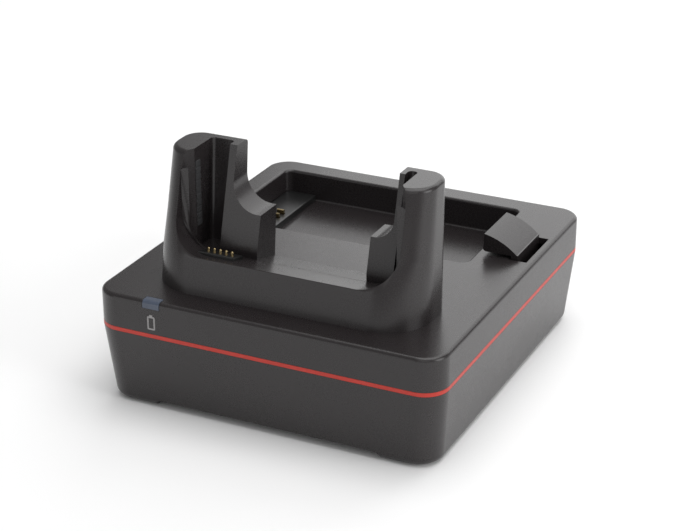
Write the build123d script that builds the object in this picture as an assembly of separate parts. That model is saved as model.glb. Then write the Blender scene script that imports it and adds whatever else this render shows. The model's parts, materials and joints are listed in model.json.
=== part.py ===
from build123d import *
import os
from math import cos, radians, sin

# Desk charging dock for a handheld mobile computer, with a second bay for a spare battery.
# Millimetres. The origin is on the desk, under the middle of the base. The user stands on
# the -Y side, +X is to the user's right and +Z is up.

# Base: two shells with a coloured band between them
BASE_WIDTH = 130.0
BASE_DEPTH = 140.0
DECK_Z = 42.2
CORNER_R = 9.0
WALL = 2.5
TOP_EDGE_R = 1.5
FOOT_EDGE_R = 2.5
TRIM_Z = 28.4
TRIM_HEIGHT = 1.5
SKIRT_INSET = 2.6  # how far the lower shell draws in on its way down
RUNNER_Z = 0.6
RUNNER_WIDTH = 22.0
CHANNEL_Z = 3.0  # underside of the shell between the two runners
FLOOR_T = 2.5
FIT_GAP = 0.15  # between parts that are pushed together
HOLE_GAP = 0.2  # around a screw's shank where it passes through
THREAD_GAP = 0.02  # between a screw's thread and its boss
PAD_GAP = 0.05  # around rubber parts in their recesses

# Device cup: its outline is given at the foot, the sill, the waist and the top
POST_WIDTH = 11.8  # from the pocket's side to the cup's side, at the foot
CUP_GAP_Y = 11.0  # from the base's front to the cup's front
CUP_DEPTH = 30.3
CUP_RISE = 46.3  # from the deck to the top
SILL_RISE = 12.8
WAIST_RISE = 23.8
SILL_BACK = 2.0  # how far the front face has leaned back at each height
WAIST_BACK = 8.5
TOP_BACK = 14.5
FOOT_R = 17.0  # of the front corners at each height
SILL_R = 16.0
WAIST_R = 11.0
TOP_R = 9.0
POST_DRAW = 1.6  # how far each outer side leans in
POST_LEAN_BACK = 4.2
CUP_BACK_R = 7.0
TOP_EDGE = 1.5

# Pocket for the device, which leans back on two wings
POCKET_WIDTH = 78.0
DEVICE_LEAN = 15.0
HEEL_BACK = 16.8  # from the cup's front to the line where the floor meets the back rest
HEEL_RISE = 9.4  # from the deck to that line
POCKET_R = 10.0
HEEL_R = 1.5
LEFT_FLANGE = 11.8
LEFT_WING = 23.5
RIGHT_FLANGE = 5.2
RIGHT_WING = 13.0
WING_RISE = 15.0  # from the heel line to the tip of each wing
LEFT_GROOVE = 9.0
RIGHT_GROOVE = 3.3
GROOVE_R = 1.5
GROOVE_WALL = 4.0
LEAD_WIDTH = 3.0  # flare at the front of each side wall
LEAD_DEPTH = 4.5
LEAD_START = 0.7  # from the heel line back to where the flare begins
PAD_WIDTH = 3.2
PAD_LENGTH = 24.0
PAD_LOW = 8.0  # from the heel line up to the pad
PAD_BACK = 1.0  # from the heel line back to the pad
PAD_T = 1.0
PAD_PROUD = 0.3

# Battery bay
BAY_LEFT = 9.0  # from the base's left side to the bay
BAY_BACK = 10.0  # from the base's back to the bay
BAY_WIDTH = 99.0
BAY_LENGTH = 54.0
BAY_DEEP = 11.2
BAY_R = 3.0
BAY_WALL = 2.0
BAY_RIM_R = 1.0
CONTACT_BLOCK_WIDTH = 12.8
CONTACT_BLOCK_HEIGHT = 2.5
CONTACT_BLOCK_R = 0.6
BLADES = 4
BLADE_STEP = 4.0
BLADE_WIDTH = 3.0
BLADE_T = 1.0
BLADE_PROUD = 1.7
SHOULDER_T = 1.2
SLIDE_GAP = 0.3  # around each moving blade and between moving faces
CONTACT_SPRING_H = 3.4
CONTACT_SPRING_R = 0.8
CONTACT_WIRE = 0.25
CONTACT_COILS = 4
CONTACT_BOARD_T = 1.6
BOARD_POST_R = 2.2
POST_OUT = 7.2  # from the blades to the board's posts
POST_GAP = 0.5  # from the outer blades' slots to the posts
BLADE_IN = 4.0  # from the contact block's edge to the blades
HEADER_WIDTH = 12.0
HEADER_T = 3.0

# Battery latch
LATCH_WIDTH = 22.0
LATCH_BACK = 32.0  # from the base's back to the latch
LATCH_STEM_T = 2.6
LATCH_STEM_IN = 6.2  # from the base's right side to the outer face of the stem
LATCH_SIDE_GAP = 0.6
LATCH_RISE = 8.3  # from the deck to the tip
LATCH_REACH = 16.0  # from the outer face of the stem to the tip
LATCH_UNDER = 1.2
LATCH_TOE = 4.2  # from the deck to the lower edge of the tip
LATCH_ARCH = 5.73  # from the deck to the top of the arch above its middle point
LATCH_ARCH_IN = 6.4  # from the outer face of the stem to that point
LATCH_FLAT = 12.5  # from the outer face of the stem to where the underside turns up
SLOT_OUT = 3.4  # room for the stem to swing out
LATCH_PIN_R = 1.5
LATCH_PIN_IN = 8.5
LATCH_PIN_Z = 12.0
LATCH_HUB_R = 3.4
LATCH_SPRING_BAY = 8.0
LATCH_WIRE = 0.7
LATCH_COILS = 5
RUN_FIT = 0.05
BRACKET_T = 2.6

# Dock connector
DOCK_LEFT = 12.5  # from the pocket's left side to the middle of the connector
DOCK_FRONT = 6.0  # from the heel line to the middle of the connector
DOCK_WIDTH = 14.0
DOCK_THICK = 7.0
DOCK_PROUD = 1.2
DOCK_DEEP = 9.0
DOCK_FLANGE = 1.5
DOCK_FLANGE_T = 1.5
DOCK_EDGE_R = 0.5
PINS = 5
PIN_STEP = 2.3
PIN_R = 0.55
PIN_PROUD = 1.4
BARREL_R = 0.9
BARREL_DEEP = 8.0
PIN_WIRE = 0.14
PIN_COILS = 5
PIN_DEEP = 5.0
DOCK_BOARD_T = 1.2
RIBBON_WIDTH = 10.0
RIBBON_T = 0.4
SOCKET_RIM = 0.8
WINDOW_GAP = 0.8  # beside the connector's board where it reaches down into the deck
SOCKET_T = 3.0
SOCKET_H = 2.0

# Main board
BOARD_GAP_X = 19.0  # from the base's side to the board
BOARD_FRONT = 12.0
BOARD_BACK = 8.0
BOARD_T = 1.6
STANDOFF_H = 4.0
STANDOFF_R = 3.0
BOARD_SCREW_IN = 6.0  # from the board's side to its screws
BOARD_SCREW_Y = 20.0  # from the base's front or back to the board's screws
BOARD_CORNER_R = 2.0
COIL_PLACE = (25.5, -6.5)
COIL_SIZE = (11.0, 11.0, 5.0)
CHIP_SIZE = (8.0, 8.0, 1.2)
CHIP_X = (-10.0, 8.0)
CHIP_Y = -22.0
CAN_R = 4.0
CAN_H = 10.0
CAN_X = (8.0, 20.0)
CAN_Y = 24.0

# Status light
LIGHT_LEFT = 20.0
LIGHT_WIDTH = 6.5
LIGHT_DEEP = 3.5
LIGHT_STEP = 0.3  # from the deck's underside down to the window's lower edge
PIPE_WIDTH = 4.5
PIPE_T = 3.0
PIPE_DROP = 6.4
LED_SIZE = (1.4, 2.0, 1.2)
LED_STEP = 2.4

# Fasteners
BIG_SCREW_R = 1.5
SMALL_SCREW_R = 1.25
HEAD_RATIO = 1.8
SCREW_IN = 11.0  # from the base's side to the housing screws
SCREW_Y = 24.0  # from the base's front or back to the housing screws
BOSS_R = 3.75
CUP_BOSS_R = 3.25
CUP_SCREW_REACH = 6.0  # from the deck to the tip
TINY_SCREW_R = 1.0
BOSS_SPLIT = 20.0
HEAD_SEAT = 14.0

# Feet
RUBBER_R = 6.0
RUBBER_T = 1.4
FOOT_IN_X = 13.0
FOOT_IN_Y = 12.5

# Rear sockets
JACK_X = 18.5
JACK_SIZE = 9.0
JACK_LONG = 11.0
JACK_BORE_R = 3.0
JACK_PIN_R = 1.0
USB_X = -16.0
USB_WIDTH = 9.0
USB_HEIGHT = 3.2
USB_LONG = 8.0
USB_SHELL_T = 0.4
TONGUE_IN = 1.5
TONGUE_T = 0.7

# Worked-out places
HALF_WIDTH = BASE_WIDTH / 2
HALF_DEPTH = BASE_DEPTH / 2
UPPER_Z = TRIM_Z + TRIM_HEIGHT
DECK_UNDER = DECK_Z - WALL
FLOOR_Z = CHANNEL_Z + FLOOR_T
CUP_TOP = DECK_Z + CUP_RISE
CUP_HALF = POCKET_WIDTH / 2 + POST_WIDTH
CUP_FRONT = -HALF_DEPTH + CUP_GAP_Y
CUP_BACK = CUP_FRONT + CUP_DEPTH
HEEL_Y = CUP_FRONT + HEEL_BACK
HEEL_Z = DECK_Z + HEEL_RISE
POCKET_LEFT = -POCKET_WIDTH / 2
POCKET_RIGHT = POCKET_WIDTH / 2
REST = Plane(origin=(0, HEEL_Y, HEEL_Z), x_dir=(1, 0, 0),
             z_dir=(0, sin(radians(DEVICE_LEAN)), cos(radians(DEVICE_LEAN))))
BAY_X = (-HALF_WIDTH + BAY_LEFT, -HALF_WIDTH + BAY_LEFT + BAY_WIDTH)
BAY_Y = (HALF_DEPTH - BAY_BACK - BAY_LENGTH, HALF_DEPTH - BAY_BACK)
BAY_FLOOR = DECK_Z - BAY_DEEP
BAY_UNDER = BAY_FLOOR - BAY_WALL
BOARD_HALF = HALF_WIDTH - BOARD_GAP_X
BOARD_SCREWS = (BOARD_HALF - BOARD_SCREW_IN, HALF_DEPTH - BOARD_SCREW_Y)
BOARD_Z = FLOOR_Z + STANDOFF_H
BOARD_TOP = BOARD_Z + BOARD_T
LATCH_Y = (HALF_DEPTH - LATCH_BACK - LATCH_WIDTH, HALF_DEPTH - LATCH_BACK)
STEM_OUT = HALF_WIDTH - LATCH_STEM_IN
STEM_IN = STEM_OUT - LATCH_STEM_T
PIN_X = HALF_WIDTH - LATCH_PIN_IN
SLOT_X = (STEM_IN - LATCH_SIDE_GAP, STEM_OUT + SLOT_OUT)
SLOT_Y = (LATCH_Y[0] - LATCH_SIDE_GAP, LATCH_Y[1] + LATCH_SIDE_GAP)
LIGHT_TALL = WALL + LIGHT_STEP
LIGHT_X = (-HALF_WIDTH + LIGHT_LEFT, -HALF_WIDTH + LIGHT_LEFT + LIGHT_WIDTH)
DOCK = REST * Plane(origin=(POCKET_LEFT + DOCK_LEFT, -DOCK_FRONT, 0))
SOCKET_Y = HEEL_Y - DOCK_FRONT + SOCKET_T
BLADE_X = BAY_X[0] + CONTACT_BLOCK_WIDTH - BLADE_IN
BLADE_MID = sum(BAY_Y) / 2 - BLADE_STEP / 2
BLADE_TOP = BAY_FLOOR + CONTACT_BLOCK_HEIGHT + BLADE_PROUD
SHOULDER_TOP = BAY_UNDER - SLIDE_GAP
CONTACT_BOARD_TOP = SHOULDER_TOP - SHOULDER_T - CONTACT_SPRING_H
EPS = 1.0  # how far a cut runs past the face that it opens


def span(x, y, z):
    """Block between the given pairs of limits."""
    box = Box(x[1] - x[0], y[1] - y[0], z[1] - z[0], align=(Align.MIN,) * 3)
    return Pos(x[0], y[0], z[0]) * box


def rod(x, y, z, radius):
    """Upright cylinder at x and y between two heights."""
    return Pos(x, y, z[0]) * Cylinder(radius, z[1] - z[0], align=(Align.CENTER, Align.CENTER, Align.MIN))


def across(x, y, z, radius):
    """Cylinder along Y between two depths."""
    middle = Pos(x, (y[0] + y[1]) / 2, z)
    return middle * Rot(90, 0, 0) * Cylinder(radius, y[1] - y[0])


def corners(x, y):
    return [(sx * x, sy * y) for sx in (-1, 1) for sy in (-1, 1)]


def screw(x, y, seat, tip, radius):
    """Screw driven upwards: its head is under the seat and has a cross recess."""
    head = radius * HEAD_RATIO
    body = rod(x, y, (seat - radius, seat), head) + rod(x, y, (seat, tip), radius)
    depth = (seat - radius - EPS, seat - radius / 2)
    for wide, thick in ((radius, radius / 4), (radius / 4, radius)):
        body -= span((x - wide, x + wide), (y - thick, y + thick), depth)
    return body


def base_section(z, inset=0.0):
    """Outline of the base at a height, moved inwards by inset."""
    draw = SKIRT_INSET * max(0.0, TRIM_Z - z) / (TRIM_Z - RUNNER_Z)
    side = inset + draw
    plan = RectangleRounded(BASE_WIDTH - 2 * side, BASE_DEPTH - 2 * side, CORNER_R - inset)
    return Pos(0, 0, z) * plan


def cup_section(rise, inset=0.0):
    """Outline of the cup at a height above the deck, moved inwards by inset."""
    front = CUP_FRONT + between(rise, (0, SILL_BACK, WAIST_BACK, TOP_BACK)) + inset
    front_r = between(rise, (FOOT_R, SILL_R, WAIST_R, TOP_R)) - inset
    share = rise / CUP_RISE
    back = CUP_BACK + share * POST_LEAN_BACK - inset
    half = CUP_HALF - share * POST_DRAW - inset
    plan = Pos(0, (front + back) / 2, DECK_Z + rise) * Rectangle(2 * half, back - front)
    plan = fillet(plan.vertices().group_by(Axis.Y)[0], front_r)
    return fillet(plan.vertices().group_by(Axis.Y)[-1], CUP_BACK_R - inset)


def between(rise, values):
    """Value at a height, from the values at the foot, the sill, the waist and the top."""
    rises = (0, SILL_RISE, WAIST_RISE, CUP_RISE)
    step = max(i for i in range(3) if i == 0 or rise > rises[i])
    share = (rise - rises[step]) / (rises[step + 1] - rises[step])
    return values[step] + share * (values[step + 1] - values[step])


def cup_body(low, high, inset=0.0):
    """The cup before its pocket is cut, between two heights above the deck."""
    rises = (low, SILL_RISE, WAIST_RISE, high)
    body = loft([cup_section(rise, inset) for rise in rises[:2]], ruled=True)
    for start, end in zip(rises[1:], rises[2:]):
        body += loft([cup_section(start, inset), cup_section(end, inset)], ruled=True)
    return body


def pocket_space(grow=0.0):
    """Room for the device, above the sloping floor and in front of the leaning back rest."""
    reach = CUP_DEPTH + CUP_TOP - DECK_Z
    x = (POCKET_LEFT - grow, POCKET_RIGHT + grow)
    room = span(x, (-reach, grow), (-grow, 2 * reach))
    low = room.edges().filter_by(Axis.Y).group_by(Axis.Z)[0]
    room = fillet(low, POCKET_R + grow)
    return REST * room


def back_opening(grow=0.0):
    """The gap between the wings, which widens above them to the gap between the flanges."""
    y = (HEEL_Y - HEEL_R, CUP_BACK + POST_LEAN_BACK + EPS)
    wings = (POCKET_LEFT + LEFT_WING - grow, POCKET_RIGHT - RIGHT_WING + grow)
    flanges = (POCKET_LEFT + LEFT_FLANGE - grow, POCKET_RIGHT - RIGHT_FLANGE + grow)
    tip = HEEL_Z + WING_RISE - grow
    top = CUP_TOP + EPS
    upper = span(flanges, y, (tip, top))
    low = upper.edges().filter_by(Axis.Y).group_by(Axis.Z)[0].sort_by(Axis.X)
    upper = fillet(low[0], LEFT_WING - LEFT_FLANGE - GROOVE_R)
    low = upper.edges().filter_by(Axis.Y).group_by(Axis.Z)[0].sort_by(Axis.X)
    upper = fillet(low[-1], RIGHT_WING - RIGHT_FLANGE - GROOVE_R)
    lower = span(wings, y, (DECK_Z - EPS, top))
    reach = 2 * (CUP_TOP - DECK_Z)
    above = REST * span((-reach, reach), (-reach, reach), (-grow, 2 * reach))
    return (upper + lower) & above


def side_groove(x, grow=0.0):
    """Upright clearance behind the back rest, beside one of the pocket's side walls."""
    lean = POST_LEAN_BACK / CUP_RISE
    low = HEEL_Z - grow
    high = CUP_TOP + EPS
    back_low = CUP_BACK + lean * (low - DECK_Z) - GROOVE_WALL + grow
    back_high = CUP_BACK + lean * (high - DECK_Z) - GROOVE_WALL + grow
    front = HEEL_Y - HEEL_R
    side = Polyline((front, low), (back_low, low), (back_high, high), (front, high), close=True)
    face = Plane(origin=(x[0] - grow, 0, 0), x_dir=(0, 1, 0), z_dir=(1, 0, 0)) * make_face(side)
    room = extrude(face, x[1] - x[0] + 2 * grow)
    behind = [e for e in room.edges() if abs(e.tangent_at(0.5).Z) > 0.9 and e.center().Y > front + EPS]
    return fillet(behind, GROOVE_R)


def lead_in(grow=0.0):
    """Upright flare at the front of both side walls, rounded off where it nears the floor."""
    reach = CUP_DEPTH + CUP_RISE
    half = POCKET_WIDTH / 2 + grow
    wide = half + LEAD_WIDTH
    start = HEEL_Y + LEAD_START + grow / 2
    points = [(-wide, -HALF_DEPTH), (-wide, start - LEAD_DEPTH), (-half, start),
              (half, start), (wide, start - LEAD_DEPTH), (wide, -HALF_DEPTH)]
    flare = Pos(0, 0, DECK_Z) * extrude(make_face(Polyline(*points, close=True)), CUP_RISE + EPS)
    room = span((-wide, wide), (-reach, reach), (-grow, 2 * reach))
    low = room.edges().filter_by(Axis.Y).group_by(Axis.Z)[0]
    return flare & (REST * fillet(low, POCKET_R + LEAD_WIDTH + grow))


def cup_spaces(grow=0.0):
    left = (POCKET_LEFT, POCKET_LEFT + LEFT_GROOVE)
    right = (POCKET_RIGHT - RIGHT_GROOVE, POCKET_RIGHT)
    return [pocket_space(grow), lead_in(grow), back_opening(grow), side_groove(left, grow),
            side_groove(right, grow)]


def pad_box(side, gap=0.0):
    """Upright grip pad let into one of the pocket's side walls."""
    face = side * POCKET_WIDTH / 2
    x = sorted((face - side * PAD_PROUD, face + side * (PAD_T - PAD_PROUD)))
    y = (HEEL_Y + PAD_BACK - gap, HEEL_Y + PAD_BACK + PAD_WIDTH + gap)
    return span(x, y, (HEEL_Z + PAD_LOW - gap, HEEL_Z + PAD_LOW + PAD_LENGTH + gap))


def cup_screw_places():
    post_x = (CUP_HALF + POCKET_WIDTH / 2) / 2
    front_x = CUP_HALF - FOOT_R / 2 - EPS
    front_y = CUP_FRONT + FOOT_R / 2
    back_y = CUP_BACK - CUP_BACK_R - EPS
    return [(-front_x, front_y), (front_x, front_y), (-post_x, back_y), (post_x, back_y)]


def device_cup():
    cup = cup_body(0, CUP_RISE)
    cup = fillet(cup.faces().sort_by(Axis.Z)[-1].edges(), TOP_EDGE)
    hollow = cup_body(-EPS, CUP_RISE - WALL, WALL)
    for room in cup_spaces(WALL):
        hollow -= room
    for x, y in cup_screw_places():
        hollow -= rod(x, y, (DECK_Z - EPS, CUP_TOP), CUP_BOSS_R)
    for room in cup_spaces():
        cup -= room
    cup -= hollow
    for side in (-1, 1):
        cup -= pad_box(side, PAD_GAP)
    for x, y in cup_screw_places():
        cup -= rod(x, y, (DECK_Z - EPS, DECK_Z + CUP_SCREW_REACH + EPS), SMALL_SCREW_R + THREAD_GAP)
    half = DOCK_WIDTH / 2 + FIT_GAP
    thick = DOCK_THICK / 2 + FIT_GAP
    cup -= DOCK * span((-half, half), (-thick, thick), (-WALL - EPS, EPS))
    return cup


def cup_grip_pads():
    return [pad_box(side) for side in (-1, 1)]


def bay_space(grow=0.0):
    plan = RectangleRounded(BAY_WIDTH + 2 * grow, BAY_LENGTH + 2 * grow, BAY_R + grow)
    low = BAY_FLOOR - grow
    return Pos(sum(BAY_X) / 2, sum(BAY_Y) / 2, low) * extrude(plan, DECK_Z + EPS - low)


def light_notch(gap=0.0):
    x = (LIGHT_X[0] - gap, LIGHT_X[1] + gap)
    return span(x, (-HALF_DEPTH - EPS, -HALF_DEPTH + LIGHT_DEEP + gap), (DECK_Z - LIGHT_TALL, DECK_Z + EPS))


def housing_boss_places():
    return corners(HALF_WIDTH - SCREW_IN, HALF_DEPTH - SCREW_Y)


def base_block():
    """Outer shape of the upper shell, with its rounded top edge."""
    block = extrude(base_section(UPPER_Z), DECK_Z - UPPER_Z)
    return fillet(block.faces().sort_by(Axis.Z)[-1].edges(), TOP_EDGE_R)


def cable_window():
    x = POCKET_LEFT + DOCK_LEFT
    y = HEEL_Y - DOCK_FRONT
    half = DOCK_WIDTH / 2 + DOCK_FLANGE + WINDOW_GAP
    return span((x - half, x + half), (y - DOCK_THICK / 2 - DOCK_FLANGE, y + DOCK_THICK / 2 + DOCK_FLANGE),
                (DECK_UNDER - EPS, DECK_Z + EPS))


def block_window(gap=0.0):
    """Window in the bay's floor that the contact block's spigot fills."""
    half = BLADES * BLADE_STEP / 2 + gap
    x = (BLADE_X - BLADE_WIDTH - gap, BLADE_X + BLADE_WIDTH + gap)
    return span(x, (BLADE_MID - half, BLADE_MID + half), (BAY_UNDER, BAY_FLOOR))


def contact_post_places():
    x = BLADE_X - POST_OUT
    half = BLADES * BLADE_STEP / 2 + POST_GAP
    return [(x, BLADE_MID - half), (x, BLADE_MID + half)]


def upper_housing():
    """Deck, skirt and battery well in one moulding."""
    shell = base_block() - extrude(base_section(UPPER_Z, WALL), DECK_UNDER - UPPER_Z)
    below_deck = span((-HALF_WIDTH, HALF_WIDTH), (-HALF_DEPTH, HALF_DEPTH), (0, DECK_UNDER + EPS / 2))
    shell += bay_space(BAY_WALL) & below_deck
    for x, y in housing_boss_places():
        shell += rod(x, y, (BOSS_SPLIT, DECK_UNDER), BOSS_R)
    for x, y in contact_post_places():
        shell += rod(x, y, (CONTACT_BOARD_TOP, BAY_UNDER), BOARD_POST_R)
    shell -= bay_space()
    rim = [e for e in shell.edges() if in_bay_rim(e.center())]
    shell = fillet(rim, BAY_RIM_R)
    shell -= span(SLOT_X, SLOT_Y, (DECK_UNDER - EPS, DECK_Z + EPS))
    shell -= light_notch(FIT_GAP)
    shell -= cable_window()
    shell -= block_window()
    for x, y in housing_boss_places():
        shell -= rod(x, y, (BOSS_SPLIT - EPS, BAY_UNDER - EPS / 2), BIG_SCREW_R + THREAD_GAP)
    for x, y in cup_screw_places():
        shell -= rod(x, y, (DECK_UNDER - EPS, DECK_Z + EPS), SMALL_SCREW_R + HOLE_GAP)
    for x, y in contact_post_places():
        shell -= rod(x, y, (CONTACT_BOARD_TOP - EPS, BAY_UNDER), TINY_SCREW_R + THREAD_GAP)
    return shell


def in_bay_rim(point):
    """True for a point on the upper edge of the battery bay."""
    in_x = BAY_X[0] - EPS < point.X < BAY_X[1] + EPS
    in_y = BAY_Y[0] - EPS < point.Y < BAY_Y[1] + EPS
    return abs(point.Z - DECK_Z) < THREAD_GAP and in_x and in_y


def lower_housing():
    """Pan with two runners, the screw bosses, the board's standoffs and the latch brackets."""
    pan = loft([base_section(TRIM_Z), base_section(RUNNER_Z)], ruled=True)
    pan = fillet(pan.faces().sort_by(Axis.Z)[0].edges(), FOOT_EDGE_R)
    pan -= loft([base_section(TRIM_Z, WALL), base_section(FLOOR_Z, WALL)], ruled=True)
    channel = HALF_WIDTH - RUNNER_WIDTH
    pan -= chamfer(
        span((-channel, channel), (-HALF_DEPTH - EPS, HALF_DEPTH + EPS), (-EPS, CHANNEL_Z))
        .edges().filter_by(Axis.Y).group_by(Axis.Z)[-1], CHANNEL_Z - RUNNER_Z)
    for x, y in housing_boss_places():
        pan += rod(x, y, (CHANNEL_Z, BOSS_SPLIT), BOSS_R)
    for x, y in corners(*BOARD_SCREWS):
        pan += rod(x, y, (FLOOR_Z - EPS, BOARD_Z), STANDOFF_R)
    for y in bracket_places():
        pan += span((PIN_X - LATCH_HUB_R, PIN_X + LATCH_HUB_R), y, (FLOOR_Z - EPS, LATCH_PIN_Z + LATCH_HUB_R))
        pan -= across(PIN_X, (y[0] - EPS, y[1] + EPS), LATCH_PIN_Z, LATCH_PIN_R + THREAD_GAP)
    for x, y in housing_boss_places():
        pan -= rod(x, y, (0, HEAD_SEAT), BIG_SCREW_R * HEAD_RATIO + HOLE_GAP)
        pan -= rod(x, y, (0, BOSS_SPLIT + EPS), BIG_SCREW_R + HOLE_GAP)
    for x, y in corners(*BOARD_SCREWS):
        pan -= rod(x, y, (FLOOR_Z - EPS, BOARD_Z + EPS), SMALL_SCREW_R + THREAD_GAP)
    for x, y in foot_places():
        pan -= rod(x, y, (0, RUBBER_T), RUBBER_R + PAD_GAP)
    back = (HALF_DEPTH - 2 * WALL - SKIRT_INSET, HALF_DEPTH + EPS)
    pan -= across(JACK_X, back, jack_z(), JACK_SIZE / 2 + FIT_GAP)
    usb = (USB_WIDTH / 2 + HOLE_GAP, USB_HEIGHT / 2 + HOLE_GAP)
    pan -= span((USB_X - usb[0], USB_X + usb[0]), back, (usb_z() - usb[1], usb_z() + usb[1]))
    return pan


def trim_band():
    ring = extrude(base_section(TRIM_Z), TRIM_HEIGHT)
    return ring - extrude(base_section(TRIM_Z, WALL), TRIM_HEIGHT)


def foot_places():
    return corners(HALF_WIDTH - FOOT_IN_X, HALF_DEPTH - FOOT_IN_Y)


def rubber_feet():
    return [rod(x, y, (0, RUBBER_T), RUBBER_R) for x, y in foot_places()]


def housing_screws():
    tip = BAY_UNDER - 2 * EPS
    return [screw(x, y, HEAD_SEAT, tip, BIG_SCREW_R) for x, y in housing_boss_places()]


def cup_screws():
    return [screw(x, y, DECK_UNDER, DECK_Z + CUP_SCREW_REACH, SMALL_SCREW_R) for x, y in cup_screw_places()]


def main_board():
    plan = ((-BOARD_HALF, BOARD_HALF), (-HALF_DEPTH + BOARD_FRONT, HALF_DEPTH - BOARD_BACK))
    board = span(*plan, (BOARD_Z, BOARD_TOP))
    board = fillet(board.edges().filter_by(Axis.Z), BOARD_CORNER_R)
    for x, y in corners(*BOARD_SCREWS):
        board -= rod(x, y, (BOARD_Z - EPS, BOARD_TOP + EPS), SMALL_SCREW_R + HOLE_GAP)
    return board


def board_screws():
    """Driven downwards into the standoffs."""
    shanks = []
    for x, y in corners(*BOARD_SCREWS):
        head = rod(x, y, (BOARD_TOP, BOARD_TOP + SMALL_SCREW_R), SMALL_SCREW_R * HEAD_RATIO)
        half = SMALL_SCREW_R
        head -= span((x - half, x + half), (y - half / 4, y + half / 4),
                     (BOARD_TOP + SMALL_SCREW_R / 2, BOARD_TOP + 2 * SMALL_SCREW_R))
        shanks.append(head + rod(x, y, (FLOOR_Z - EPS / 2, BOARD_TOP), SMALL_SCREW_R))
    return shanks


def jack_z():
    return BOARD_TOP + JACK_SIZE / 2


def usb_z():
    return BOARD_TOP + USB_HEIGHT / 2


def power_jack():
    """Barrel socket on the board with its nose in the rear wall."""
    back = HALF_DEPTH - BOARD_BACK
    body = span((JACK_X - JACK_SIZE / 2, JACK_X + JACK_SIZE / 2), (back - JACK_LONG, back),
                (BOARD_TOP, BOARD_TOP + JACK_SIZE))
    nose = (back, HALF_DEPTH - WALL)
    body += across(JACK_X, nose, jack_z(), JACK_SIZE / 2)
    body -= across(JACK_X, (back - JACK_LONG + WALL, HALF_DEPTH), jack_z(), JACK_BORE_R)
    pin = across(JACK_X, (back - JACK_LONG + WALL, back + WALL), jack_z(), JACK_PIN_R)
    return body + pin


def usb_port():
    """Metal shell with its contact tongue."""
    back = HALF_DEPTH - WALL
    x = (USB_X - USB_WIDTH / 2, USB_X + USB_WIDTH / 2)
    z = (BOARD_TOP, BOARD_TOP + USB_HEIGHT)
    shell = span(x, (back - USB_LONG, back), z)
    room = span((x[0] + USB_SHELL_T, x[1] - USB_SHELL_T), (back - USB_LONG + EPS, back + EPS),
                (z[0] + USB_SHELL_T, z[1] - USB_SHELL_T))
    tongue = span((x[0] + TONGUE_IN, x[1] - TONGUE_IN), (back - USB_LONG, back - EPS),
                  (usb_z() - TONGUE_T / 2, usb_z() + TONGUE_T / 2))
    return shell - room + tongue


def light_pipe():
    """Clear window in the deck's front edge, led down to the lamp on the board."""
    window = base_block() & light_notch()
    middle = (LIGHT_X[0] + LIGHT_X[1]) / 2
    x = (middle - PIPE_WIDTH / 2, middle + PIPE_WIDTH / 2)
    front = -HALF_DEPTH + WALL + FIT_GAP
    back = -HALF_DEPTH + BOARD_FRONT + PIPE_T + EPS
    low = DECK_Z - LIGHT_TALL - PIPE_DROP
    riser = span(x, (front, front + PIPE_T), (low, DECK_Z - LIGHT_TALL))
    arm = span(x, (front, back), (low, low + PIPE_T))
    stem = span(x, (back - PIPE_T, back), (BOARD_TOP + LED_SIZE[2] + SLIDE_GAP, low))
    return window + riser + arm + stem


def status_lamps():
    """Two surface-mounted lamps under the foot of the light pipe."""
    middle = (LIGHT_X[0] + LIGHT_X[1]) / 2
    y = -HALF_DEPTH + BOARD_FRONT + EPS
    return [on_board(middle + side * LED_STEP / 2, y + LED_SIZE[1] / 2, *LED_SIZE) for side in (-1, 1)]


def dock_connector():
    """Moulded block that stands through the cup's floor and is held by a flange below it."""
    half = DOCK_WIDTH / 2
    thick = DOCK_THICK / 2
    block = span((-half, half), (-thick, thick), (-DOCK_DEEP, DOCK_PROUD))
    block = fillet(block.edges().group_by(Axis.Z)[-1], DOCK_EDGE_R)
    block += span((-half - DOCK_FLANGE, half + DOCK_FLANGE), (-thick - DOCK_FLANGE, thick + DOCK_FLANGE),
                  (-WALL - DOCK_FLANGE_T, -WALL))
    for x in pin_places():
        block -= rod(x, 0, (-DOCK_DEEP, DOCK_PROUD + EPS), BARREL_R)
    return DOCK * block


def pin_places():
    return [(i - (PINS - 1) / 2) * PIN_STEP for i in range(PINS)]


def pin_barrels():
    """Fixed sleeves that the sprung pins run in, closed at the bottom."""
    return [DOCK * (rod(x, 0, (-DOCK_DEEP, DOCK_PROUD), BARREL_R)
                    - rod(x, 0, (-BARREL_DEEP, DOCK_PROUD + EPS), PIN_R + RUN_FIT)) for x in pin_places()]


def dock_pins():
    """Sprung contact pins with rounded tips."""
    pins = []
    for x in pin_places():
        pin = rod(x, 0, (-PIN_DEEP, DOCK_PROUD + PIN_PROUD), PIN_R)
        pins.append(DOCK * fillet(pin.edges().sort_by(Axis.Z)[-1], PIN_R * 0.8))
    return pins


def coil(radius, wire, low, high, turns):
    """Helical spring along +Z between two heights."""
    rise = high - low - wire
    path = Pos(0, 0, low + wire / 2) * Helix(rise / turns, rise, radius)
    section = Plane(path @ 0, z_dir=path % 0) * Circle(wire / 2)
    return sweep(section, path)


def pin_springs():
    """One spring under each dock pin, inside its barrel."""
    radius = PIN_R - PIN_WIRE / 2
    return [DOCK * Pos(x, 0, 0) * coil(radius, PIN_WIRE, -BARREL_DEEP, -PIN_DEEP, PIN_COILS)
            for x in pin_places()]


def dock_board():
    half = DOCK_WIDTH / 2 + DOCK_FLANGE
    thick = DOCK_THICK / 2 + DOCK_FLANGE
    return DOCK * span((-half, half), (-thick, thick), (-DOCK_DEEP - DOCK_BOARD_T, -DOCK_DEEP))


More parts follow.
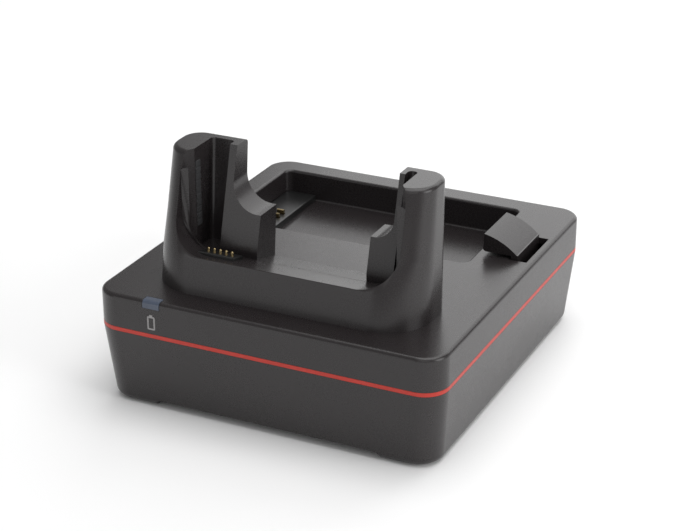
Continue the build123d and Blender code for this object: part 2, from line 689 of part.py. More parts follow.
def ribbon_sockets():
    """One socket under the dock connector's board and one on the main board."""
    half = RIBBON_WIDTH / 2 + SOCKET_RIM
    thick = SOCKET_T / 2
    low = -DOCK_DEEP - DOCK_BOARD_T
    upper = DOCK * span((-half, half), (-thick, thick), (low - SOCKET_H, low))
    x = POCKET_LEFT + DOCK_LEFT
    y = (SOCKET_Y - thick, SOCKET_Y + thick)
    lower = span((x - half, x + half), y, (BOARD_TOP, BOARD_TOP + SOCKET_H))
    return [upper, lower]


def ribbon_cable():
    """Flat cable from the dock connector's board down to the main board."""
    top = (DOCK * Pos(0, 0, -DOCK_DEEP - DOCK_BOARD_T - SOCKET_H)).position
    foot = BOARD_TOP + SOCKET_H
    bend = (top.Z - foot) / 5
    points = [top, top - REST.z_dir * bend, (top.X, SOCKET_Y, foot + 2 * bend), (top.X, SOCKET_Y, foot)]
    path = FilletPolyline(*points, radius=bend)
    section = Plane(path @ 0, x_dir=(1, 0, 0), z_dir=path % 0) * Rectangle(RIBBON_WIDTH, RIBBON_T)
    return sweep(section, path)


def board_parts():
    """Coil, chips and capacitors of the charging circuit."""
    coil_block = on_board(*COIL_PLACE, *COIL_SIZE)
    coil_block = fillet(coil_block.edges().filter_by(Axis.Z), BOARD_CORNER_R)
    chips = [on_board(x, CHIP_Y, *CHIP_SIZE) for x in CHIP_X]
    cans = [rod(x, CAN_Y, (BOARD_TOP, BOARD_TOP + CAN_H), CAN_R) for x in CAN_X]
    return [coil_block] + chips + cans


def on_board(x, y, width, depth, height):
    """Block that stands on the main board."""
    z = (BOARD_TOP, BOARD_TOP + height)
    return span((x - width / 2, x + width / 2), (y - depth / 2, y + depth / 2), z)


def contact_block():
    """Step at the left end of the battery bay with slots for the blades."""
    step = span((BAY_X[0] + FIT_GAP, BAY_X[0] + CONTACT_BLOCK_WIDTH),
                (BAY_Y[0] + FIT_GAP, BAY_Y[1] - FIT_GAP), (BAY_FLOOR, BAY_FLOOR + CONTACT_BLOCK_HEIGHT))
    step = fillet(step.edges().filter_by(Axis.Z).group_by(Axis.X)[0], BAY_R)
    step = fillet(step.faces().sort_by(Axis.Z)[-1].edges(), CONTACT_BLOCK_R)
    step += block_window(-FIT_GAP)
    half = (BLADE_WIDTH / 2 + SLIDE_GAP, BLADE_T / 2 + SLIDE_GAP)
    for y in blade_places():
        step -= span((BLADE_X - half[0], BLADE_X + half[0]), (y - half[1], y + half[1]),
                     (BAY_UNDER - EPS, BLADE_TOP + EPS))
    return step


def blade_places():
    return [BLADE_MID + (i - (BLADES - 1) / 2) * BLADE_STEP for i in range(BLADES)]


def battery_blades():
    """Contact blades with a shoulder that keeps each one in the block."""
    blades = []
    half = (BLADE_WIDTH / 2, BLADE_T / 2)
    wide = (BLADE_WIDTH / 2 + 2 * SLIDE_GAP, BLADE_T / 2 + 2 * SLIDE_GAP)
    for y in blade_places():
        blade = span((BLADE_X - half[0], BLADE_X + half[0]), (y - half[1], y + half[1]),
                     (SHOULDER_TOP - SHOULDER_T, BLADE_TOP))
        blade = fillet(blade.edges().filter_by(Axis.X).group_by(Axis.Z)[-1], BLADE_T * 0.45)
        blade += span((BLADE_X - wide[0], BLADE_X + wide[0]), (y - wide[1], y + wide[1]),
                      (SHOULDER_TOP - SHOULDER_T, SHOULDER_TOP))
        blades.append(blade)
    return blades


def blade_springs():
    low = CONTACT_BOARD_TOP
    spring = coil(CONTACT_SPRING_R, CONTACT_WIRE, low, low + CONTACT_SPRING_H, CONTACT_COILS)
    return [Pos(BLADE_X, y, 0) * spring for y in blade_places()]


def contact_board_box():
    x = (BLADE_X - POST_OUT - 2 * BOARD_POST_R + SLIDE_GAP, BLADE_X + 2 * BLADE_WIDTH)
    half = BLADES * BLADE_STEP / 2 + BOARD_POST_R + POST_GAP
    return x, (BLADE_MID - half, BLADE_MID + half)


def contact_board():
    x, y = contact_board_box()
    board = span(x, y, (CONTACT_BOARD_TOP - CONTACT_BOARD_T, CONTACT_BOARD_TOP))
    for px, py in contact_post_places():
        board -= rod(px, py, (BOARD_Z, DECK_Z), TINY_SCREW_R + HOLE_GAP)
    return board


def contact_board_screws():
    seat = CONTACT_BOARD_TOP - CONTACT_BOARD_T
    return [screw(x, y, seat, BAY_UNDER - EPS / 2, TINY_SCREW_R) for x, y in contact_post_places()]


def contact_header():
    """Pin header between the contact board and the main board."""
    x = -BOARD_HALF + EPS
    y = (BLADE_MID - HEADER_WIDTH / 2, BLADE_MID + HEADER_WIDTH / 2)
    return span((x, x + HEADER_T), y, (BOARD_TOP, CONTACT_BOARD_TOP - CONTACT_BOARD_T))


def bracket_places():
    low = LATCH_Y[0] - SLIDE_GAP
    high = LATCH_Y[1] + SLIDE_GAP
    return [(low - BRACKET_T, low), (high, high + BRACKET_T)]


def battery_latch():
    """Sprung lever: a hub on the pin, a flat stem and an arched head that reaches over the bay."""
    y = LATCH_Y
    under = DECK_Z + LATCH_UNDER
    tip = (STEM_OUT - LATCH_REACH, DECK_Z + LATCH_RISE)
    crown = (STEM_OUT - LATCH_ARCH_IN, DECK_Z + LATCH_ARCH)
    shoulder = (STEM_OUT, under)
    heel = (STEM_IN, under)
    rise = (STEM_OUT - LATCH_FLAT, under)
    toe = (tip[0], DECK_Z + LATCH_TOE)
    outline = [ThreePointArc(tip, crown, shoulder)]
    outline.append(Line(shoulder, (PIN_X + LATCH_STEM_T / 2, LATCH_PIN_Z)))
    outline.append(Line((PIN_X + LATCH_STEM_T / 2, LATCH_PIN_Z), (PIN_X - LATCH_STEM_T / 2, LATCH_PIN_Z)))
    outline.append(Line((PIN_X - LATCH_STEM_T / 2, LATCH_PIN_Z), heel))
    outline.append(Line(heel, rise))
    outline.append(Line(rise, toe))
    outline.append(Line(toe, tip))
    side = Plane.XZ.offset(-y[1]) * make_face(Curve() + outline)
    lever = extrude(side, y[1] - y[0])
    for limits in hub_places():
        lever += across(PIN_X, limits, LATCH_PIN_Z, LATCH_HUB_R)
    gap = (hub_places()[0][1], hub_places()[1][0])
    lever -= span((PIN_X - 2 * LATCH_HUB_R, HALF_WIDTH), gap, (0, LATCH_PIN_Z + LATCH_HUB_R + EPS))
    return lever - across(PIN_X, (y[0] - EPS, y[1] + EPS), LATCH_PIN_Z, LATCH_PIN_R + RUN_FIT)


def hub_places():
    middle = sum(LATCH_Y) / 2
    half = LATCH_SPRING_BAY / 2
    return [(LATCH_Y[0], middle - half), (middle + half, LATCH_Y[1])]


def latch_pin():
    y = (bracket_places()[0][0], bracket_places()[1][1])
    return across(PIN_X, y, LATCH_PIN_Z, LATCH_PIN_R)


def latch_spring():
    """Coil around the pin; one leg bears on the stem and the other on the floor."""
    wire = LATCH_WIRE
    radius = LATCH_PIN_R + wire
    middle = sum(LATCH_Y) / 2
    half = LATCH_SPRING_BAY / 2 - SLIDE_GAP
    turns = coil(radius, wire, -half, half, LATCH_COILS)
    body = Pos(PIN_X, middle, LATCH_PIN_Z) * Rot(90, 0, 0) * turns
    floor_leg = rod(PIN_X + radius, middle + half - wire / 2, (FLOOR_Z, LATCH_PIN_Z), wire / 2)
    lean = LATCH_STEM_T / 2 + wire
    stem_z = (LATCH_PIN_Z, LATCH_PIN_Z + 3 * lean)
    stem_leg = rod(PIN_X + radius + wire / 4, middle - half + wire / 2, stem_z, wire / 2)
    return body + floor_leg + stem_leg


PARTS = {
    "upper_housing": upper_housing,
    "lower_housing": lower_housing,
    "trim_band": trim_band,
    "device_cup": device_cup,
    "cup_grip_pads": cup_grip_pads,
    "dock_connector": dock_connector,
    "dock_pin_barrels": pin_barrels,
    "dock_pins": dock_pins,
    "dock_pin_springs": pin_springs,
    "dock_board": dock_board,
    "ribbon_sockets": ribbon_sockets,
    "ribbon_cable": ribbon_cable,
    "contact_block": contact_block,
    "battery_blades": battery_blades,
    "blade_springs": blade_springs,
    "contact_board": contact_board,
    "contact_board_screws": contact_board_screws,
    "contact_header": contact_header,
    "battery_latch": battery_latch,
    "latch_pin": latch_pin,
    "latch_spring": latch_spring,
    "light_pipe": light_pipe,
    "status_lamps": status_lamps,
    "main_board": main_board,
    "board_screws": board_screws,
    "board_parts": board_parts,
    "power_jack": power_jack,
    "usb_port": usb_port,
    "rubber_feet": rubber_feet,
    "housing_screws": housing_screws,
    "cup_screws": cup_screws,
}

os.makedirs("parts", exist_ok=True)
for name, make in PARTS.items():
    shape = make()
    if isinstance(shape, list):
        shape = Compound(children=[piece for item in shape for piece in item.solids()])
    export_step(shape, f"parts/{name}.step")
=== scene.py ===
"""Charging dock with a leaning device cup and a battery bay, modelled around its CAD frame."""
import json
from contextlib import contextmanager
from math import radians

import bmesh
import bpy
from bpy.props import FloatProperty, FloatVectorProperty, PointerProperty
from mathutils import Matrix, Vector


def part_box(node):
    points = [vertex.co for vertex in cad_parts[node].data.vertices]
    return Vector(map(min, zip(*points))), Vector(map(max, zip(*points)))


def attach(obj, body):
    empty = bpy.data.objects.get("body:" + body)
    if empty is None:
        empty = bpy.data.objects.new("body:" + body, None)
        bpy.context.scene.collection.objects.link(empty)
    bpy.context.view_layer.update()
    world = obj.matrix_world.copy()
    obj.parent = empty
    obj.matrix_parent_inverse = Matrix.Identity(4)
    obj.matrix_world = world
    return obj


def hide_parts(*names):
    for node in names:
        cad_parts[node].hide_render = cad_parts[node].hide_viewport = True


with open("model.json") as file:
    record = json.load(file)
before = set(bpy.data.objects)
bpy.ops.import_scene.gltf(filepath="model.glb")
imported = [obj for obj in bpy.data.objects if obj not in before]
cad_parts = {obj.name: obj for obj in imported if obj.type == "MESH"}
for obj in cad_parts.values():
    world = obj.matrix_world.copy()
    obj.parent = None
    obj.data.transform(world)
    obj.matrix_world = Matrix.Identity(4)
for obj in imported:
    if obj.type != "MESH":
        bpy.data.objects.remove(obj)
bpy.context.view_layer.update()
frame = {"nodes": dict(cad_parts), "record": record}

bl_info = {
    "name": "Charging Dock",
    "version": (1, 0, 0),
    "blender": (4, 5, 0),
    "location": "View3D > Sidebar > Dock",
    "description": "Models a desk charging dock piece by piece around its frame",
    "category": "Add Mesh",
}

MM = 0.001
EPS = 0.0005  # how far a cutting block runs past the face that it opens
CLOSE = EPS / 50  # coordinates nearer than this count as equal
FLAT = EPS / 20  # the same for heights, which a cut may shift a little
MERGE = EPS / 100  # vertices nearer than this become one
UPPER = [Vector(corner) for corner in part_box("upper_housing")]
LOWER = [Vector(corner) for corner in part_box("lower_housing")]
TRIM = [Vector(corner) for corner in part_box("trim_band")]
CUP = [Vector(corner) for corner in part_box("device_cup")]
LATCH = [Vector(corner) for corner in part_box("battery_latch")]
PIPE = [Vector(corner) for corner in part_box("light_pipe")]
FEET = [Vector(corner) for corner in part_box("rubber_feet")]
DECK = CUP[0].z
SCREW_X = UPPER[1].x - 11 * MM  # the housing screws' places, left and right of the middle
SCREW_Y = UPPER[1].y - 24 * MM  # and in front of and behind it
BOSS = 3.75 * MM  # radius of the round posts for those screws
FOOT = 6 * MM  # radius of a rubber foot


# Sizes and colours ---------------------------------------------------------------------

def length(name, description, default):
    """A size property in metres."""
    return FloatProperty(name=name, description=description, default=default, min=0.0,
                         subtype="DISTANCE", unit="LENGTH", precision=5)


def paint(name, description, default):
    """A colour property."""
    return FloatVectorProperty(name=name, description=description, default=default, size=3,
                               min=0.0, max=1.0, subtype="COLOR")


def turn(name, description, degrees):
    """An angle property."""
    return FloatProperty(name=name, description=description, default=radians(degrees),
                         subtype="ANGLE", unit="ROTATION")


class DockSizes(bpy.types.PropertyGroup):
    """Sizes that the frame's boxes don't give."""
    corner: length("Corner radius", "Radius of the base's upright corners", 9 * MM)
    wall: length("Wall", "Thickness of the housings' walls", 2.5 * MM)
    top_edge: length("Top edge", "Radius round the deck's outer edge", 1.5 * MM)
    inset: length("Skirt inset", "How far the lower housing draws in towards the desk", 2.6 * MM)
    foot_edge: length("Foot edge", "Radius round the lower housing's bottom edge", 2.5 * MM)
    runner: length("Runner", "Width of the raised strip under each side", 22 * MM)
    relief: length("Relief", "Height of the gap under the base between the runners", 3 * MM)
    soft_edge: length("Soft edge", "Radius of the small moulded edges", 0.35 * MM)
    cup_edge: length("Cup edge", "Radius of the cup's edges", 0.7 * MM)
    sill: length("Sill", "Height above the deck where the cup's front starts to lean", 12.8 * MM)
    waist: length("Waist", "Height above the deck where the posts straighten", 23.8 * MM)
    sill_back: length("Sill lean", "How far the front has leaned back at the sill", 2.0 * MM)
    waist_back: length("Waist lean", "How far the front has leaned back at the waist", 8.5 * MM)
    top_back: length("Front lean", "How far the front has leaned back at the top", 14.5 * MM)
    foot_corner: length("Foot corner", "Radius of the cup's front corners at the deck", 17 * MM)
    sill_corner: length("Sill corner", "Radius of the cup's front corners at the sill", 16 * MM)
    waist_corner: length("Waist corner", "Radius of the cup's front corners at the waist", 11 * MM)
    post_corner: length("Post corner", "Radius of the cup's front corners at the top", 9 * MM)
    cup_back: length("Back corner", "Radius of the cup's back corners", 7 * MM)
    cup_top: length("Cup top", "Radius round the top of the posts", 1.5 * MM)
    lean_back: length("Back lean", "How far the cup's back face leans back", 4.2 * MM)
    draw: length("Side draw", "How far each side of the cup leans in", 1.6 * MM)
    lead_width: length("Flare width", "Width of the flare at the front of each side wall", 3 * MM)
    lead_depth: length("Flare depth", "Front to back size of the flare", 4.5 * MM)
    lead_start: length("Flare start", "From the heel back to where the flare begins", 0.7 * MM)
    pocket: length("Pocket", "Width between the cup's side walls", 78 * MM)
    pocket_corner: length("Pocket corner", "Radius where the side walls meet the floor", 10 * MM)
    heel_back: length("Heel depth", "From the cup's front to the heel of the pocket", 16.8 * MM)
    heel_rise: length("Heel height", "From the deck to the heel of the pocket", 9.4 * MM)
    device_lean: turn("Device lean", "How far the device leans back", 15)
    left_flange: length("Left flange", "From the left side wall to the flange's end", 11.8 * MM)
    right_flange: length("Right flange", "From the right side wall to the flange's end", 5.2 * MM)
    left_wing: length("Left wing", "From the left side wall to the wing's tip", 23.5 * MM)
    right_wing: length("Right wing", "From the right side wall to the wing's tip", 13 * MM)
    wing_rise: length("Wing height", "From the heel to the tips of the wings", 15 * MM)
    left_groove: length("Left groove", "Width of the left groove behind the back rest", 9 * MM)
    right_groove: length("Right groove", "Width of the right groove", 3.3 * MM)
    groove_wall: length("Groove wall", "Wall behind each groove", 4 * MM)
    bay_left: length("Bay place", "From the base's left side to the bay", 9 * MM)
    bay_back: length("Bay back", "From the base's back to the bay", 10 * MM)
    bay_width: length("Bay width", "Width of the battery bay", 99 * MM)
    bay_length: length("Bay length", "Front to back size of the battery bay", 54 * MM)
    bay_deep: length("Bay depth", "Depth of the battery bay", 11.2 * MM)
    bay_corner: length("Bay corner", "Radius of the bay's upright corners", 3 * MM)
    bay_rim: length("Bay rim", "Radius round the bay's upper edge", 1 * MM)
    slot_side: length("Slot side", "Room beside the latch in its slot", 0.6 * MM)
    slot_out: length("Slot reach", "Room outside the latch's stem", 3.4 * MM)
    stem: length("Stem", "Thickness of the latch's stem", 2.6 * MM)
    stem_out: length("Stem place", "From the base's right side to the stem's outer face", 6.2 * MM)
    symbol: length("Symbol", "Width of the battery symbol beside the status light", 4.4 * MM)


class DockColours(bpy.types.PropertyGroup):
    """Colours of the dock's finishes."""
    shell: paint("Shell", "Charcoal moulded plastic", (0.0190, 0.0160, 0.0165))
    band: paint("Band", "Red-orange band", (0.48, 0.024, 0.012))
    rubber: paint("Rubber", "Feet and grip pads", (0.018, 0.018, 0.019))
    black: paint("Black plastic", "Connectors and contact block", (0.010, 0.010, 0.010))
    gold: paint("Gold", "Plated contacts", (0.36, 0.28, 0.15))
    steel: paint("Steel", "Screws, springs and pins", (0.56, 0.56, 0.58))
    board: paint("Board", "Circuit boards", (0.012, 0.11, 0.045))
    ribbon: paint("Ribbon", "Flat cable", (0.78, 0.78, 0.74))
    window: paint("Window", "Status light window", (0.085, 0.105, 0.15))
    lamp: paint("Lamp", "Status lamps", (0.9, 0.9, 0.82))
    mark: paint("Mark", "Printed symbol", (0.30, 0.29, 0.29))
    floor: paint("Floor", "Studio floor", (0.92, 0.92, 0.92))


# Modelling tools -----------------------------------------------------------------------

def only(obj):
    bpy.ops.object.select_all(action="DESELECT")
    obj.select_set(True)
    bpy.context.view_layer.objects.active = obj


def settle(obj):
    """Moves an object's place, turn and size into its mesh."""
    only(obj)
    bpy.ops.object.transform_apply(location=True, rotation=True, scale=True)
    return obj


@contextmanager
def editing(obj, kind="EDGE"):
    """Edit mode with nothing selected."""
    only(obj)
    bpy.ops.object.mode_set(mode="EDIT")
    bpy.ops.mesh.select_mode(type=kind)
    bpy.ops.mesh.select_all(action="DESELECT")
    yield bmesh.from_edit_mesh(obj.data)
    bpy.ops.object.mode_set(mode="OBJECT")


def pick(obj, mesh, kind, test):
    """Selects the vertices, edges or faces that pass a test and says how many there are."""
    chosen = [item for item in getattr(mesh, kind) if test(item)]
    for item in chosen:
        item.select_set(True)
    bmesh.update_edit_mesh(obj.data)
    return len(chosen)


def ends(edge):
    return edge.verts[0].co, edge.verts[1].co


def upright(edge):
    low, high = ends(edge)
    return (low.xy - high.xy).length < CLOSE and abs(low.z - high.z) > EPS


def level(z):
    """Test for edges that lie at one height."""
    return lambda edge: all(abs(point.z - z) < FLAT for point in ends(edge))


def lengthwise(z):
    """Test for edges at one height whose ends are equally far to the right."""
    return lambda edge: level(z)(edge) and abs(ends(edge)[0].x - ends(edge)[1].x) < CLOSE


def through(edge):
    """Whether an edge runs from front to back."""
    return abs(ends(edge)[0].y - ends(edge)[1].y) > FLAT


def box(name, low, high):
    """Block from corner to corner."""
    low, high = Vector(low), Vector(high)
    bpy.ops.object.select_all(action="DESELECT")
    bpy.ops.mesh.primitive_cube_add(size=1, location=(low + high) / 2)
    obj = bpy.context.object
    obj.name = name
    obj.scale = high - low
    return settle(obj)


def rod(name, start, end, radius, sides=48):
    """Cylinder from one point to another."""
    start, end = Vector(start), Vector(end)
    along = end - start
    bpy.ops.object.select_all(action="DESELECT")
    bpy.ops.mesh.primitive_cylinder_add(vertices=sides, radius=radius, depth=along.length,
                                        location=(start + end) / 2)
    obj = bpy.context.object
    obj.name = name
    obj.rotation_euler = along.to_track_quat("Z", "Y").to_euler()
    return settle(obj)


def bevel(obj, test, radius, segments=6):
    """Rounds the edges that pass a test."""
    with editing(obj) as mesh:
        if pick(obj, mesh, "edges", test):
            bpy.ops.mesh.bevel(offset=radius, segments=segments, profile=0.5, affect="EDGES",
                               clamp_overlap=True, loop_slide=False)
    return obj


def outline(x, y, z, front, back, segments=14):
    """Flat rounded rectangle at a height, with its own front and back corner radii."""
    bpy.ops.object.select_all(action="DESELECT")
    bpy.ops.mesh.primitive_plane_add(size=1, location=(sum(x) / 2, sum(y) / 2, z))
    obj = bpy.context.object
    obj.scale = (x[1] - x[0], y[1] - y[0], 1)
    settle(obj)
    for edge_y, radius in ((y[0], front), (y[1], back)):
        with editing(obj, "VERT") as mesh:
            pick(obj, mesh, "verts", lambda vert: abs(vert.co.y - edge_y) < CLOSE)
            bpy.ops.mesh.bevel(offset=radius, segments=segments, profile=0.5, affect="VERTICES")
    return obj


def loft(name, outlines):
    """Closed solid through flat outlines, from the lowest to the highest."""
    low = outlines[0].data.vertices[0].co.z
    high = outlines[-1].data.vertices[0].co.z
    bpy.ops.object.select_all(action="DESELECT")
    for item in outlines:
        item.select_set(True)
    bpy.context.view_layer.objects.active = outlines[0]
    bpy.ops.object.join()
    obj = outlines[0]
    obj.name = name
    with editing(obj):
        bpy.ops.mesh.select_all(action="SELECT")
        bpy.ops.mesh.delete(type="ONLY_FACE")
        bpy.ops.mesh.select_all(action="SELECT")
        bpy.ops.mesh.bridge_edge_loops(type="SINGLE")
    for z in (low, high):
        with editing(obj) as mesh:
            pick(obj, mesh, "edges", level(z))
            bpy.ops.mesh.edge_face_add()
    return outward(obj)


def outward(obj):
    with editing(obj):
        bpy.ops.mesh.select_all(action="SELECT")
        bpy.ops.mesh.normals_make_consistent(inside=False)
    return obj


def combine(obj, tools, operation):
    """Adds or takes away each tool in turn, and uses it up."""
    for tool in tools:
        only(obj)
        change = obj.modifiers.new(operation, "BOOLEAN")
        change.operation = operation
        change.solver = "EXACT"
        change.object = tool
        bpy.ops.object.modifier_apply(modifier=change.name)
        bpy.data.objects.remove(tool)
    return obj


def slice_off(obj, point, normal):
    """Takes off what lies beyond a plane, on the side that its normal points to."""
    with editing(obj):
        bpy.ops.mesh.select_all(action="SELECT")
        bpy.ops.mesh.bisect(plane_co=point, plane_no=normal, clear_outer=True, use_fill=True)


def cut(obj, *tools):
    return combine(obj, tools, "DIFFERENCE")


def add(obj, *tools):
    return combine(obj, tools, "UNION")


def common(obj, *tools):
    return combine(obj, tools, "INTERSECT")


def tidy(obj):
    """Merges doubles and joins the flat faces that the cuts divided."""
    with editing(obj, "VERT"):
        bpy.ops.mesh.select_all(action="SELECT")
        bpy.ops.mesh.remove_doubles(threshold=MERGE)
        bpy.ops.mesh.dissolve_limited(angle_limit=radians(0.3))
    return obj


def soften(obj, radius, segments=3, angle=32):
    """Rounds what is still sharp and gives the faces a smooth shading."""
    only(obj)
    if radius > 0:
        edges = obj.modifiers.new("edges", "BEVEL")
        edges.width = radius
        edges.segments = segments
        edges.limit_method = "ANGLE"
        edges.angle_limit = radians(angle)
        edges.harden_normals = False
        bpy.ops.object.modifier_apply(modifier=edges.name)
    bpy.ops.object.shade_smooth_by_angle(angle=radians(angle))
    weigh = obj.modifiers.new("shading", "WEIGHTED_NORMAL")
    weigh.keep_sharp = True
    bpy.ops.object.modifier_apply(modifier=weigh.name)
    return obj


def leaned(obj, heel, angle):
    """Turns an object about X at the origin, so that its top goes back, and moves it to the heel."""
    obj.rotation_euler = (-angle, 0, 0)
    obj.location = heel
    return settle(obj)


def corners(x, y):
    return [(side * x, end * y) for side in (-1, 1) for end in (-1, 1)]


def hand_in(obj, name, body, slot, material, *nodes):
    """Names a finished piece and says what it rides on, what it stands for and its finish."""
    obj.name = name
    obj.data.name = name
    obj.data.materials.clear()
    obj.data.materials.append(material)
    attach(obj, body)
    if nodes:
        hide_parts(*nodes)
    return obj


# Materials -----------------------------------------------------------------------------

class Wire:
    """A node's output that can be used in sums."""

    def __init__(self, surface, socket):
        self.surface = surface
        self.socket = socket

    def sum(self, operation, *values):
        sockets = dict(enumerate(values))
        return self.surface.node("ShaderNodeMath", {"operation": operation}, sockets)

    def __add__(self, other):
        return self.sum("ADD", self, other)

    def __sub__(self, other):
        return self.sum("SUBTRACT", self, other)

    def __rsub__(self, other):
        return self.sum("SUBTRACT", other, self)

    def __mul__(self, other):
        return self.sum("MULTIPLY", self, other)

    def __gt__(self, other):
        return self.sum("GREATER_THAN", self, other)

    def abs(self):
        return self.sum("ABSOLUTE", self)

    def fraction(self):
        return self.sum("FRACT", self)

    __radd__ = __add__
    __rmul__ = __mul__


class Surface:
    """A material whose nodes are added one by one and joined by sums."""

    def __init__(self, name, colour, roughness, metallic=0.0):
        self.material = bpy.data.materials.new(name)
        self.material.use_nodes = True
        self.tree = self.material.node_tree
        self.shader = self.tree.nodes["Principled BSDF"]
        self.give("Base Color", (*colour, 1.0))
        self.give("Roughness", roughness)
        self.give("Metallic", metallic)
        self.material.diffuse_color = (*colour, 1.0)
        self.place = self.node("ShaderNodeTexCoord", {}, {}, "Object")

    def node(self, kind, settings, sockets, output=0):
        """Adds a node, with its settings first and then its values and links."""
        made = self.tree.nodes.new(kind)
        for name, value in settings.items():
            setattr(made, name, value)
        for name, value in sockets.items():
            self.join(made.inputs[name], value)
        return Wire(self, made.outputs[output])

    def join(self, socket, value):
        if isinstance(value, Wire):
            self.tree.links.new(value.socket, socket)
        else:
            socket.default_value = value

    def give(self, name, value):
        self.join(self.shader.inputs[name], value)

    def noise(self, size, detail=2.0, stretch=(1, 1, 1)):
        """Noise whose features have a size in metres, from 0 to 1."""
        spot = self.node("ShaderNodeMapping", {}, {"Vector": self.place, "Scale": stretch})
        return self.node("ShaderNodeTexNoise", {}, {"Vector": spot, "Scale": 1 / size, "Detail": detail})

    def cells(self, size):
        """Rounded cells that have a size in metres."""
        return self.node("ShaderNodeTexVoronoi", {}, {"Vector": self.place, "Scale": 1 / size})

    def axis(self, name):
        return self.node("ShaderNodeSeparateXYZ", {}, {"Vector": self.place}, name)

    def tint(self, mask, first, second):
        """A colour between two others by a mask."""
        return self.node("ShaderNodeMix", {"data_type": "RGBA"},
                         {0: mask, 6: (*first, 1.0), 7: (*second, 1.0)}, 2)

    def relief(self, height, depth, strength=1.0):
        """Raises the surface by a height from 0 to 1, times a depth in metres."""
        self.give("Normal", self.node("ShaderNodeBump", {}, {
            "Height": height, "Distance": depth, "Strength": strength}))


def shade(colour, share):
    return tuple(min(1.0, channel * share) for channel in colour)


def moulded_plastic(name, colour, roughness=0.27, grain=0.35 * MM):
    """Satin plastic from a spark-eroded mould: fine even grain, faint flow and a little handling shine."""
    surface = Surface(name, colour, roughness)
    grit = surface.noise(grain, 3.0)
    fine = surface.cells(grain * 0.8)
    flow = surface.noise(26 * MM, 2.0, (1, 0.6, 1.6))
    handling = surface.noise(9 * MM, 4.0)
    mottle = flow * 0.7 + grit * 0.3
    surface.give("Base Color", surface.tint(mottle, shade(colour, 0.88), shade(colour, 1.14)))
    surface.give("Roughness", roughness - 0.07 + grit * 0.06 + flow * 0.05 + handling * 0.04)
    surface.give("IOR", 1.5)
    surface.relief(grit * 0.6 + fine * 0.4, 0.006 * MM, 0.5)
    return surface.material


def gloss_plastic(name, colour, roughness=0.22):
    """Smooth plastic with faint waviness and fine scuffs."""
    surface = Surface(name, colour, roughness)
    wave = surface.noise(4 * MM, 1.0)
    scuffs = surface.noise(0.5 * MM, 5.0, (1, 6, 1))
    surface.give("Base Color", surface.tint(wave, shade(colour, 0.9), shade(colour, 1.1)))
    surface.give("Roughness", roughness + scuffs * 0.10)
    surface.relief(wave, 0.008 * MM, 0.4)
    return surface.material


def rubber(name, colour):
    """Matt rubber with a fine pebbled skin and pale dust in it."""
    surface = Surface(name, colour, 0.82)
    pebbles = surface.cells(0.5 * MM)
    dust = surface.noise(3 * MM, 4.0)
    surface.give("Base Color", surface.tint(dust * 0.6, colour, shade(colour, 2.2)))
    surface.give("Roughness", 0.74 + dust * 0.14)
    surface.relief(pebbles, 0.03 * MM, 0.6)
    return surface.material


def turned_metal(name, colour, roughness=0.28, stretch=(1, 1, 14)):
    """Metal with fine tool marks and a little tarnish."""
    surface = Surface(name, colour, roughness, 1.0)
    marks = surface.noise(0.25 * MM, 4.0, stretch)
    tarnish = surface.noise(2 * MM, 3.0)
    surface.give("Base Color", surface.tint(tarnish, shade(colour, 0.8), shade(colour, 1.1)))
    surface.give("Roughness", roughness - 0.06 + marks * 0.14 + tarnish * 0.06)
    surface.relief(marks, 0.006 * MM, 0.5)
    return surface.material


def circuit_board(name, colour):
    """Lacquered board with paler tracks under the lacquer and rows of plated holes."""
    surface = Surface(name, colour, 0.35)
    pitch = 2.54 * MM
    across = (surface.axis("X") * (1 / pitch)).fraction() - 0.5
    along = (surface.axis("Y") * (1 / pitch)).fraction() - 0.5
    lanes = surface.noise(7 * MM, 0.0)
    tracks = (0.16 - across.abs() > 0) * (lanes > 0.5)
    turns = (0.16 - along.abs() > 0) * (0.5 - lanes > 0)
    lines = tracks + turns
    surface.give("Base Color", surface.tint(lines, colour, shade(colour, 1.9)))
    surface.give("Roughness", 0.38 - lines * 0.08)
    surface.relief(lines, 0.03 * MM, 0.5)
    return surface.material


def ribbon_film(name, colour):
    """Flat cable: parallel conductors under a satin film."""
    surface = Surface(name, colour, 0.42)
    lanes = (surface.axis("X") * (1 / (1.0 * MM))).fraction() - 0.5
    wires = 0.28 - lanes.abs() > 0
    surface.give("Base Color", surface.tint(wires, colour, (0.55, 0.50, 0.42)))
    surface.give("Roughness", 0.46 - wires * 0.08)
    surface.relief(wires, 0.05 * MM, 0.6)
    return surface.material


def light_window(name, colour):
    """Cloudy blue-grey plastic over an unlit lamp."""
    surface = Surface(name, colour, 0.2)
    cloud = surface.noise(1.5 * MM, 3.0)
    surface.give("Base Color", surface.tint(cloud, shade(colour, 0.85), shade(colour, 1.2)))
    surface.give("Roughness", 0.16 + cloud * 0.08)
    surface.give("Transmission Weight", 0.25)
    surface.give("IOR", 1.49)
    return surface.material


def lamp_lens(name, colour):
    """Domed lens with a yellow core."""
    surface = Surface(name, colour, 0.15)
    core = surface.noise(0.8 * MM, 1.0)
    surface.give("Base Color", surface.tint(core, colour, (0.9, 0.8, 0.35)))
    surface.give("Roughness", 0.12 + core * 0.1)
    return surface.material


def printed_ink(name, colour):
    """Pad-printed ink with slightly uneven cover."""
    surface = Surface(name, colour, 0.55)
    cover = surface.noise(0.4 * MM, 3.0)
    surface.give("Base Color", surface.tint(cover, shade(colour, 0.9), shade(colour, 1.1)))
    surface.give("Roughness", 0.5 + cover * 0.12)
    return surface.material


def studio_floor(name, colour):
    """Plain pale matt floor."""
    surface = Surface(name, colour, 0.9)
    mottle = surface.noise(0.4, 2.0)
    surface.give("Base Color", surface.tint(mottle, shade(colour, 0.99), colour))
    surface.give("Specular IOR Level", 0.1)
    return surface.material


